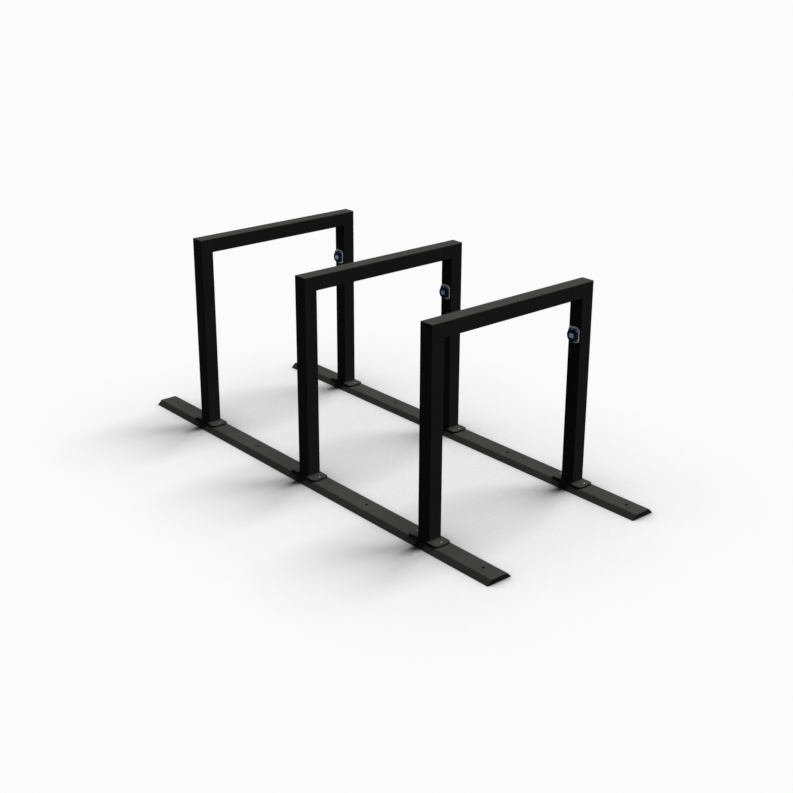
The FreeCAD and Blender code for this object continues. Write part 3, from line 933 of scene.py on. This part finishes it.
@dataclass
class SocketMounts(HingedSocket):
    """What is fixed to the far legs: pale backing plates, blue socket housings and their screws."""

    backing_width: float = 53.0
    backing_height: float = 62.0
    backing_lift: float = 2.5
    backing_front: float = 7.0
    backing_corner: float = 10.0
    backing_top_corner: float = 13.5
    backing_edge: float = 2.2
    flange_side: float = 48.0
    flange_corner: float = 8.0
    flange_back: float = 7.8
    flange_front: float = 10.8
    flange_edge: float = 0.8
    rim_front: float = 14.3
    rim_radius: float = 21.5
    rim_edge: float = 0.5
    recess_radius: float = 19.5
    recess_floor: float = -3.2
    recess_mouth: float = 0.5
    floor_back: float = -5.7
    barrel_radius: float = 21.25
    barrel_bore: float = 19.25
    barrel_back: float = -16.2
    barrel_hole: float = 21.75
    pin_offset: float = 9.5
    pin_radius: float = 2.6
    pin_mouth: float = 0.6
    earth_half_width: float = 3.3
    earth_slot: Pair = (17.7, 19.1)
    screw_offset: float = 19.0
    screw_hole: float = 2.2
    screw_sink: float = 3.95
    screw_head: float = 3.75
    screw_head_height: float = 2.2
    screw_rim: float = 0.15
    screw_shank: float = 2.0
    screw_length: float = 18.0
    screw_point: float = 1.0
    drive_width: float = 0.9
    drive_reach: float = 2.1
    drive_depth: float = 1.5
    ear_start: float = 11.0
    ear_end: float = 15.0
    ear_root: float = 22.0
    ear_edge: float = 0.35
    pin_seat: float = 1.02

    def screw_places(self) -> List[Pair]:
        """The four fixing screws round the socket."""
        shifts = (-self.screw_offset, self.screw_offset)
        return [(x, y) for x in shifts for y in shifts]

    def backing(self) -> BMesh:
        """Pale plate between the leg and the socket.

        Returns:
            The plate.
        """
        right = self.backing_width / 2.0
        low, top = (self.backing_lift + side * self.backing_height / 2.0 for side in (-1, 1))
        outline = [(-right, low, self.backing_corner), (right, low, self.backing_corner),
                   (right, top, self.backing_top_corner), (-right, top, self.backing_top_corner)]
        holes = [Hole(0.0, 0.0, self.barrel_hole)]
        holes += [Hole(x, y, self.screw_hole) for x, y in self.screw_places()]
        return plate_form(outline, 0.0, self.backing_front, self.backing_edge, holes)

    def cuts(self) -> List[BMesh]:
        """Openings of the housing: plug recess, pin holes, earth slots, screw holes and hinge pin seat.

        Returns:
            The cutting forms.
        """
        recess = (self.recess_floor, self.rim_front - self.recess_mouth, self.rim_front)
        below, above = self.floor_back - OVER, self.recess_floor + OVER
        pin = (below, self.recess_floor - self.pin_mouth, self.recess_floor)
        screw = (self.flange_back - OVER, self.flange_front - self.screw_head_height, self.flange_front)
        tools = [bore_form((0.0, 0.0), self.recess_radius, self.recess_radius + self.recess_mouth, recess,
                           TURN_STEPS)]
        for x in (-self.pin_offset, self.pin_offset):
            tools.append(bore_form((x, 0.0), self.pin_radius, self.pin_radius + self.pin_mouth, pin))
        near, far = self.earth_slot
        for low, top in ((-far, -near), (near, far)):
            tools.append(block_form(-self.earth_half_width, self.earth_half_width, low, top, below, above))
        for place in self.screw_places():
            tools.append(bore_form(place, self.screw_hole, self.screw_sink, screw))
        reach = self.ear_end + OVER
        tools.append(rod_form(self.pin_seat, -reach, reach, self.axis))
        return tools

    def housing(self) -> BMesh:
        """Moulded flange with rim, plug recess, rear barrel and hinge ears.

        Returns:
            The housing.
        """
        flange = plate_form(rounded_rectangle(self.flange_side, self.flange_side, self.flange_corner),
                            self.flange_back, self.flange_front, self.flange_edge)
        top = self.hinge_rise + self.knuckle_radius
        tab = block_form(-self.ear_end, self.ear_end, self.ear_root, top, self.flange_back, self.flange_front,
                         self.ear_edge)
        ears = self.lugs(self.ear_start, self.ear_end,
                         (self.ear_root, top, self.flange_back + OVER, self.hinge_out), self.ear_edge)
        core = turned_form([(0.0, self.floor_back), (self.barrel_bore, self.floor_back),
                            (self.barrel_bore, self.barrel_back), (self.barrel_radius, self.barrel_back),
                            (self.barrel_radius, self.flange_front - OVER),
                            (self.rim_radius, self.flange_front - OVER),
                            (self.rim_radius, self.rim_front - self.rim_edge),
                            (self.rim_radius - self.rim_edge, self.rim_front), (0.0, self.rim_front)])
        return combine(flange, [tab, core] + ears, self.cuts())

    def screw(self) -> BMesh:
        """Countersunk fixing screw with a cross drive.

        Returns:
            The screw, on the socket's axis.
        """
        neck = self.flange_front - self.screw_head_height
        tip = self.flange_front - self.screw_length
        body = turned_form([(0.0, tip), (self.screw_shank, tip + self.screw_point), (self.screw_shank, neck),
                            (self.screw_head, self.flange_front - self.screw_rim),
                            (self.screw_head - self.screw_rim, self.flange_front),
                            (0.0, self.flange_front)], steps=HOLE_STEPS)
        low, top = self.flange_front - self.drive_depth, self.flange_front + OVER
        half = self.drive_width / 2.0
        bars = [block_form(-self.drive_reach, self.drive_reach, -half, half, low, top),
                block_form(-half, half, -self.drive_reach, self.drive_reach, low, top)]
        return combine(body, [], bars)

    def build(self) -> Iterator[Object]:
        """Make the fixed parts of all sockets.

        Returns:
            Backing plates, housings and screws.
        """
        fixed = {"backing_plate": (self.backing(), PaleCoatedPlate(), "backing"),
                 "housing": (self.housing(), PolishedNavyNylon(), "flange")}
        for number in HOOPS:
            yield from self.fit(number, fixed)
        to_mm = Matrix.Scale(1.0 / MM, 4)
        places = [to_mm @ socket_place(number) @ Matrix.Scale(MM, 4) @ Matrix.Translation((x, y, 0.0))
                  for number in HOOPS for x, y in self.screw_places()]
        screws = repeat(self.screw(), places)
        yield make_piece(screws, "socket_fixings", ZincNickelWithPaintedShade(), ["socket_screws"])


@dataclass
class SprungLids(HingedSocket):
    """The round lids of the sockets, with inlay, seal, hinge pin and closing spring."""

    radius: float = 24.0
    back: float = 13.9
    inside: float = 15.3
    face: float = 17.3
    front_edge: float = 1.2
    edge_rounding: float = 0.4
    cavity_radius: float = 22.2
    lip_half_width: float = 8.0
    lip_end: float = -26.0
    lip_corner: float = 2.0
    lip_edge: float = 0.4
    knuckle_start: float = 6.2
    knuckle_end: float = 10.7
    knuckle_edge: float = 0.3
    arm_root: float = 19.0
    heel_rise: float = 1.86
    pin_radius: float = 1.0
    pin_bore: float = 1.06
    pin_half_length: float = 15.0
    pin_edge: float = 0.3
    spring_bay: float = 2.4
    spring_radius: float = 1.7
    spring_wire: float = 0.3
    spring_sides: int = 12
    spring_turns: int = 5
    spring_steps: int = 20
    spring_pitch: float = 1.6
    spring_tang_turn: float = math.radians(160.0)
    spring_tang_out: float = 11.15
    spring_bend: float = 0.8
    spring_hook_end: float = 7.5
    hook_hole: float = 0.4
    hook_play: float = 0.1
    seal_inner: float = 18.7
    seal_outer: float = 21.9
    seal_front: float = 14.6
    seal_edge: float = 0.25
    inlay_size: Pair = (22.0, 17.5)
    inlay_corner: float = 2.0
    inlay_back: float = 16.8
    inlay_front: float = 17.6
    inlay_edge: float = 0.2
    inlay_gap: float = 0.1

    def coil_start(self) -> Tuple[Vector, Vector]:
        """Where the spring's wire joins its coil.

        Returns:
            The point and the direction of the wire there.
        """
        turn = self.spring_tang_turn
        point = Vector((-self.spring_turns * self.spring_pitch / 2.0,
                        self.hinge_rise + self.spring_radius * math.sin(turn),
                        self.hinge_out + self.spring_radius * math.cos(turn)))
        around = 2.0 * math.pi * self.spring_radius
        heading = Vector((self.spring_pitch, -around * math.cos(turn), around * math.sin(turn)))
        return point, heading.normalized()

    def hook_start(self) -> Vector:
        """Where the spring's wire turns along the hinge, into the lid's knuckle."""
        start, heading = self.coil_start()
        return start + ALONG * self.spring_turns * self.spring_pitch + (heading + ALONG) * self.spring_bend

    def spring(self) -> BMesh:
        """Torsion spring: tang on the flange, turns round the pin, hook in the lid.

        Returns:
            The wire as one closed tube.
        """
        form = bmesh.new()
        start, heading = self.coil_start()
        tang = heading * ((start.z - self.spring_tang_out) / heading.z)
        facing = Matrix.Translation(start - tang) @ heading.to_track_quat("Z", "Y").to_matrix().to_4x4()
        ring = open_ring(form, self.spring_sides, self.spring_wire, facing)
        drawn = bmesh.ops.extrude_edge_only(form, edges=ring)["geom"]
        bmesh.ops.translate(form, verts=only(BMVert, drawn), vec=tang)
        step = ALONG * self.spring_pitch / self.spring_steps
        drawn = bmesh.ops.spin(form, geom=only(BMVert, drawn) + only(BMEdge, drawn), dvec=step, axis=ALONG,
                               cent=(0.0, *self.axis), angle=2.0 * math.pi * self.spring_turns,
                               steps=self.spring_steps * self.spring_turns)["geom_last"]
        turn = heading.angle(ALONG)
        inward = (ALONG - heading * heading.dot(ALONG)).normalized()
        end = start + ALONG * self.spring_turns * self.spring_pitch
        pivot = end + inward * self.spring_bend / math.tan(turn / 2.0)
        drawn = bmesh.ops.spin(form, geom=only(BMVert, drawn) + only(BMEdge, drawn), cent=pivot,
                               axis=heading.cross(ALONG).normalized(), angle=turn,
                               steps=CORNER_STEPS)["geom_last"]
        drawn = bmesh.ops.extrude_edge_only(form, edges=only(BMEdge, drawn))["geom"]
        bmesh.ops.translate(form, verts=only(BMVert, drawn),
                            vec=ALONG * (self.spring_hook_end - self.hook_start().x))
        bmesh.ops.holes_fill(form, edges=form.edges[:])
        tidy(form)
        return form

    def lid(self) -> BMesh:
        """Round lid with skirt, finger lip, hinge knuckles and seat for the inlay.

        Returns:
            The lid.
        """
        cap = turned_form([(0.0, self.back), (self.radius, self.back),
                           (self.radius, self.face - self.front_edge),
                           (self.radius - self.front_edge, self.face), (0.0, self.face)], self.edge_rounding)
        lip = plate_form([(-self.lip_half_width, self.lip_end, self.lip_corner),
                          (self.lip_half_width, self.lip_end, self.lip_corner),
                          (self.lip_half_width, 0.0, 0.0), (-self.lip_half_width, 0.0, 0.0)],
                         self.back, self.inside, self.lip_edge)
        below = self.hinge_out - OVER
        cavity = turned_form([(0.0, below), (self.cavity_radius, below), (self.cavity_radius, self.inside),
                              (0.0, self.inside)])
        bore_end = self.knuckle_end + OVER
        bore = rod_form(self.pin_bore, -bore_end, bore_end, self.axis)
        bay = rod_form(self.spring_bay, -self.knuckle_start, self.knuckle_start, self.axis)
        width, height = (side + 2.0 * self.inlay_gap for side in self.inlay_size)
        seat = plate_form(rounded_rectangle(width, height, self.inlay_corner), self.inlay_back,
                          self.face + OVER, 0.0)
        hook = self.hook_start()
        hook_hole = rod_form(self.hook_hole, self.knuckle_start - OVER,
                             self.spring_hook_end + self.hook_play, (hook.y, hook.z))
        arm = (self.arm_root, self.hinge_rise + self.heel_rise, self.hinge_out,
               self.hinge_out + self.knuckle_radius)
        knuckles = self.lugs(self.knuckle_start, self.knuckle_end, arm, self.knuckle_edge)
        return combine(cap, [lip] + knuckles, [cavity, bore, bay, seat, hook_hole])

    def inlay(self) -> BMesh:
        """Bare pale panel in the lid's face."""
        return plate_form(rounded_rectangle(*self.inlay_size, self.inlay_corner), self.inlay_back,
                          self.inlay_front, self.inlay_edge)

    def seal(self) -> BMesh:
        """Rubber ring inside the lid that rests over the rim."""
        return turned_form([(self.seal_inner, self.seal_front), (self.seal_outer, self.seal_front),
                            (self.seal_outer, self.inside), (self.seal_inner, self.inside)],
                           self.seal_edge, closed=True)

    def pin(self) -> BMesh:
        """Hinge pin with rounded ends."""
        return rod_form(self.pin_radius, -self.pin_half_length, self.pin_half_length, self.axis,
                        self.pin_edge)

    def build(self) -> Iterator[Object]:
        """Make the moving parts of all sockets.

        Returns:
            Lids, inlays, seals, pins and springs.
        """
        moving = {"lid": (self.lid(), NavyNylon(), "cap"),
                  "lid_inlay": (self.inlay(), SatinAcrylic(), "panel"),
                  "lid_seal": (self.seal(), MouldedRubber(), "seal_ring")}
        fixed = {"hinge_pin": (self.pin(), DrawnStainlessSteel(), "pin")}
        bending = {"lid_spring": (self.spring(), DrawnStainlessSteel(), "spring")}
        half = self.spring_turns * self.spring_pitch / 2.0
        for number in HOOPS:
            lid = f"lid_{number}"
            yield from self.fit(number, moving, lid)
            yield from self.fit(number, fixed)
            ends = [socket_place(number) @ (Vector((shift, *self.axis)) * MM) for shift in (-half, half)]
            for spring in self.fit(number, bending, None):
                tuple(ends[0])
                tuple(ends[1])
                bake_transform(spring)
                yield spring


@dataclass
class CarriedNodes:
    """The CAD nodes. Tubes, and what is hidden in legs, rails and sockets, keep their own shape."""

    def build(self) -> Iterator[Object]:
        """Give each node the finish of its slot, also those that pieces replace later.

        Returns:
            The nodes.
        """
        by_slot = {finish.slot: finish for finish in FINISHES}
        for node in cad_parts.values():
            for seat in node.material_slots:
                seat.material = by_slot[seat.material.name].material()
            yield node


@dataclass
class Studio:
    """Pale floor, soft light from above and behind, and the camera at the photograph's angle."""

    floor_half: float = 60.0
    floor_colour: str = "#fcfcfc"
    floor_bounce: str = "#2b2b2b"
    sky_colour: str = "#fdfdfd"
    shade_reach: float = 0.9
    sky_level: float = 0.05
    sun_level: float = 3.42
    sun_spread: float = math.radians(30.0)
    sun_from: Triple = (0.05, 0.5, 1.0)
    azimuth: float = math.radians(50.0)
    elevation: float = math.radians(20.0)
    target: Triple = (0.0, 0.001, 0.425)
    distance: float = 5.3679
    lens: float = 59.57
    sensor: float = 36.0
    shift: Pair = (0.0179, -0.0481)

    def seen(self, tree: NodeTree) -> NodeSocket:
        """Factor that is 1 for rays that show the background, straight, mirrored or through glass.

        Args:
            tree: The node tree that takes the nodes.

        Returns:
            The factor's socket.
        """
        rays = add_node(tree, "LightPath", {}).node.outputs
        shown = rays["Is Camera Ray"]
        for kind in ("Is Glossy Ray", "Is Transmission Ray"):
            shown = add_node(tree, "Mix", {"Factor": rays[kind], "A": shown, "B": 1.0}, data_type="FLOAT")
        return shown

    def lay_floor(self) -> None:
        """Lay the pale floor, darkened by painted shade near what stands on it, which throws less light up
        than it shows.
        """
        form = bmesh.new()
        bmesh.ops.create_grid(form, x_segments=1, y_segments=1, size=self.floor_half)
        floor = loose_object(form, "floor")
        material = bpy.data.materials.new("pale_floor")
        material.use_nodes = True
        tree = material.node_tree
        tree.nodes.clear()
        # Painted shade: ambient occlusion, applied twice by the multiply, darkens the floor's colour near the
        # rack.
        shade = add_node(tree, "AmbientOcclusion",
                         {"Color": linear(self.floor_colour), "Distance": self.shade_reach})
        squared_painted_shade = add_node(tree, "Mix", {"Factor": 1.0, "A": shade, "B": shade}, data_type="RGBA",
                        blend_type="MULTIPLY")
        bounce = linear(self.floor_bounce)
        colour = add_node(tree, "Mix", {"Factor": self.seen(tree), "A": bounce, "B": squared_painted_shade}, data_type="RGBA")
        surface = add_node(tree, "BsdfDiffuse", {"Color": colour})
        add_node(tree, "OutputMaterial", {"Surface": surface})
        floor.data.materials.append(material)

    def light(self) -> None:
        """Hang the soft lamp and set the sky's level."""
        lamp = bpy.data.lights.new("soft_lamp", "SUN")
        lamp.energy = self.sun_level
        lamp.angle = self.sun_spread
        hung = link_object("soft_lamp", lamp)
        hung.rotation_euler = Vector(self.sun_from).to_track_quat("Z", "Y").to_euler()
        sky = bpy.data.worlds.new("sky")
        sky.use_nodes = True
        tree = sky.node_tree
        tree.nodes.clear()
        level = add_node(tree, "Mix", {"Factor": self.seen(tree), "A": self.sky_level, "B": 1.0},
                         data_type="FLOAT")
        glow = add_node(tree, "Background", {"Color": linear(self.sky_colour), "Strength": level})
        add_node(tree, "OutputWorld", {"Surface": glow})
        bpy.context.scene.world = sky

    def aim_camera(self) -> None:
        """Set up the camera as the photograph was taken."""
        lens = bpy.data.cameras.new("camera")
        lens.sensor_width = self.sensor
        lens.lens = self.lens
        lens.shift_x, lens.shift_y = self.shift
        camera = link_object("camera", lens)
        level = math.cos(self.elevation)
        back = Vector((math.sin(self.azimuth) * level, -math.cos(self.azimuth) * level,
                       math.sin(self.elevation)))
        camera.location = Vector(self.target) + back * self.distance
        camera.rotation_euler = back.to_track_quat("Z", "Y").to_euler()
        bpy.context.scene.camera = camera

    def build(self) -> List[Object]:
        """Set up the studio, which has no pieces of the rack.

        Returns:
            No pieces.
        """
        self.lay_floor()
        self.light()
        self.aim_camera()
        bpy.context.scene.view_settings.view_transform = "Standard"
        return []


def main() -> None:
    """Build the sub-assemblies in order and report each piece."""
    logging.basicConfig(level=logging.INFO, format="%(name)s: %(message)s")
    for assembly in (CarriedNodes(), FloorRails(), LegFeet(), SocketMounts(), SprungLids(), Studio()):
        for piece in assembly.build():
            LOG.info("%s has %s", type(assembly).__name__, piece.name)


if __name__ == "__main__":
    main()
